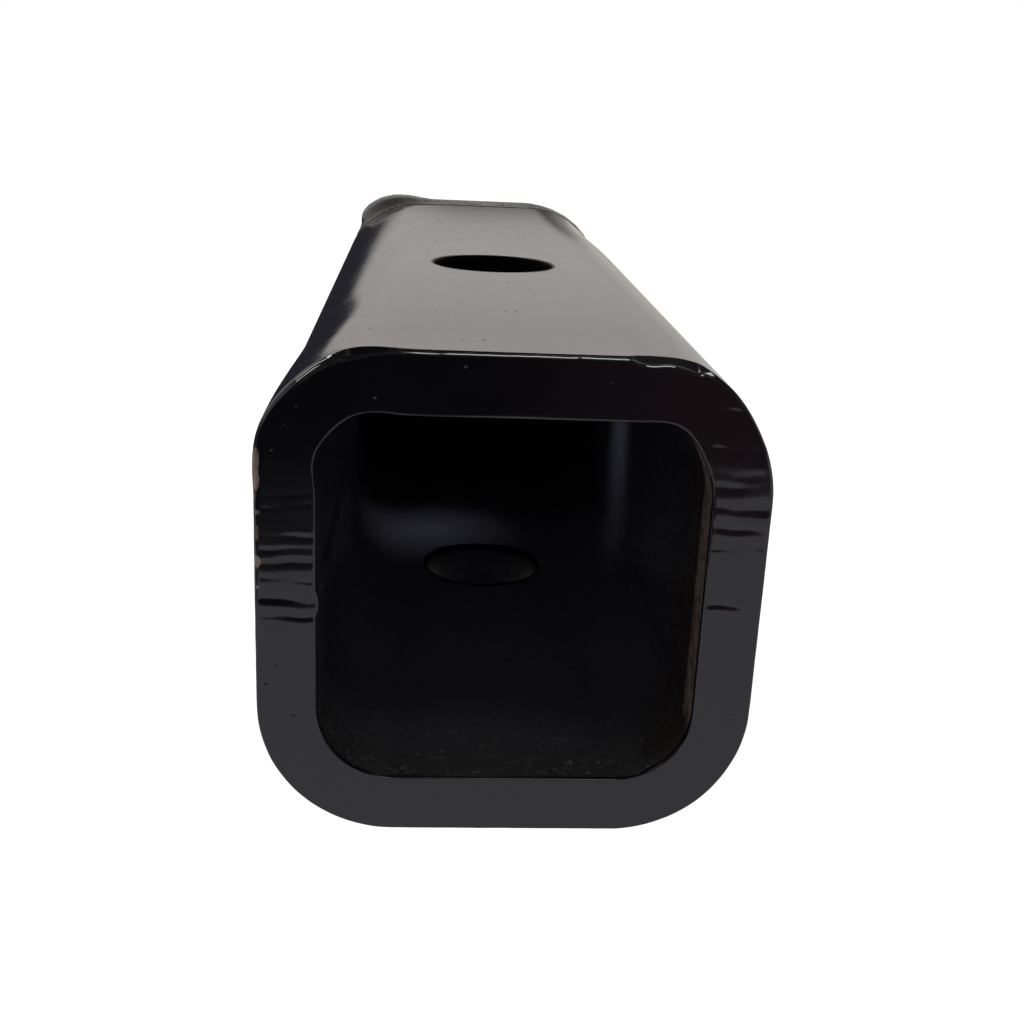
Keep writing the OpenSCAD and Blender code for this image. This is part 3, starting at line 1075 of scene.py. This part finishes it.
# Colours of the studio as reflections see it, and what lights and paints the floor
floor_front = (0.80, 0.765, 0.86, 1)
floor_back = (0.55, 0.52, 0.495, 1)
# Painted shadow of the object on the floor, as reflections see it
floor_painted_shadow = (0.03, 0.03, 0.03, 1)
floor_paint = (0.3, 0.3, 0.3, 1)
sky_low = (0.56, 0.53, 0.505, 1)
sky_middle = (0.76, 0.715, 0.685, 1)
sky_high = (0.14, 0.135, 0.135, 1)
sky_before = (0.10, 0.095, 0.10, 1)
sky_light = (0.5, 0.5, 0.5, 1)
horizon = (0.61, 0.58, 0.555, 1)

# Half the width of the floor, its height, the heights of the tops of the two flags, and of the
# lower edge of the back flag's right part, which hangs clear of the floor, in metres
floor_half = 6
low = floor_z * MM
front_top = 0.07
back_top = 0.060
back_step = 0.018

stage_sheet(
    "floor",
    [(-floor_half, -floor_half, low), (floor_half, -floor_half, low),
     (floor_half, floor_half, low), (-floor_half, floor_half, low)],
    floor_material(), False,
)
front_cloth = flag_material(
    "front_flag", (0.038, 0.033, 0.050, 1),
    ("Z", -0.050, -0.078, (0.13, 0.12, 0.15, 1)), ("X", 0.0, 0.09, (0.16, 0.096, 0.12, 1)),
)
back_cloth = flag_material(
    "back_flag", (0.022, 0.021, 0.030, 1),
    ("slant", 0.040, 0.054, horizon), ("X", 0.034, 0.066, horizon),
)
stage_sheet(
    "front_flag",
    [(-0.83, 0.105, low), (0.673, -0.70, low), (0.673, -0.70, front_top),
     (-0.83, 0.105, front_top)],
    front_cloth, True,
)
stage_sheet(
    "back_flag",
    [(-0.6, 0.30, low), (0, 0.30, low), (0.02, 0.30, back_step), (0.12, 0.30, back_step),
     (0.12, 0.30, back_top), (-0.6, 0.30, back_top)],
    back_cloth, True,
)
backdrop()
lamp("side_box", (-0.594, 0.03, 0.67), (0, 0, 0), 0.28, 0.36, 3.9)
lamp("top_box", (0.205, -0.368, 1.08), (0, 0, 0), 0.41, 0.30, 3.8)

# The photograph's camera: place in metres, turn in degrees, and angle of view
camera_place = (-0.00921, -0.18365, 0.05026)
camera_turn = (71.517, -2.597, -3.472)
focal_px = 1303.4
frame_px = 1024
axis_px = (515.0, 512.4)
camera_data = bpy.data.cameras.new("camera")
camera_data.sensor_width = 36
camera_data.lens = camera_data.sensor_width * focal_px / frame_px
camera_data.shift_x = (frame_px / 2 - axis_px[0]) / frame_px
camera_data.shift_y = (axis_px[1] - frame_px / 2) / frame_px
camera_data.clip_start = 0.005
camera = bpy.data.objects.new("camera", camera_data)
camera.location = camera_place
camera.rotation_euler = [radians(turn) for turn in camera_turn]
bpy.context.scene.collection.objects.link(camera)
bpy.context.scene.camera = camera
bpy.context.scene.view_settings.view_transform = "Standard"
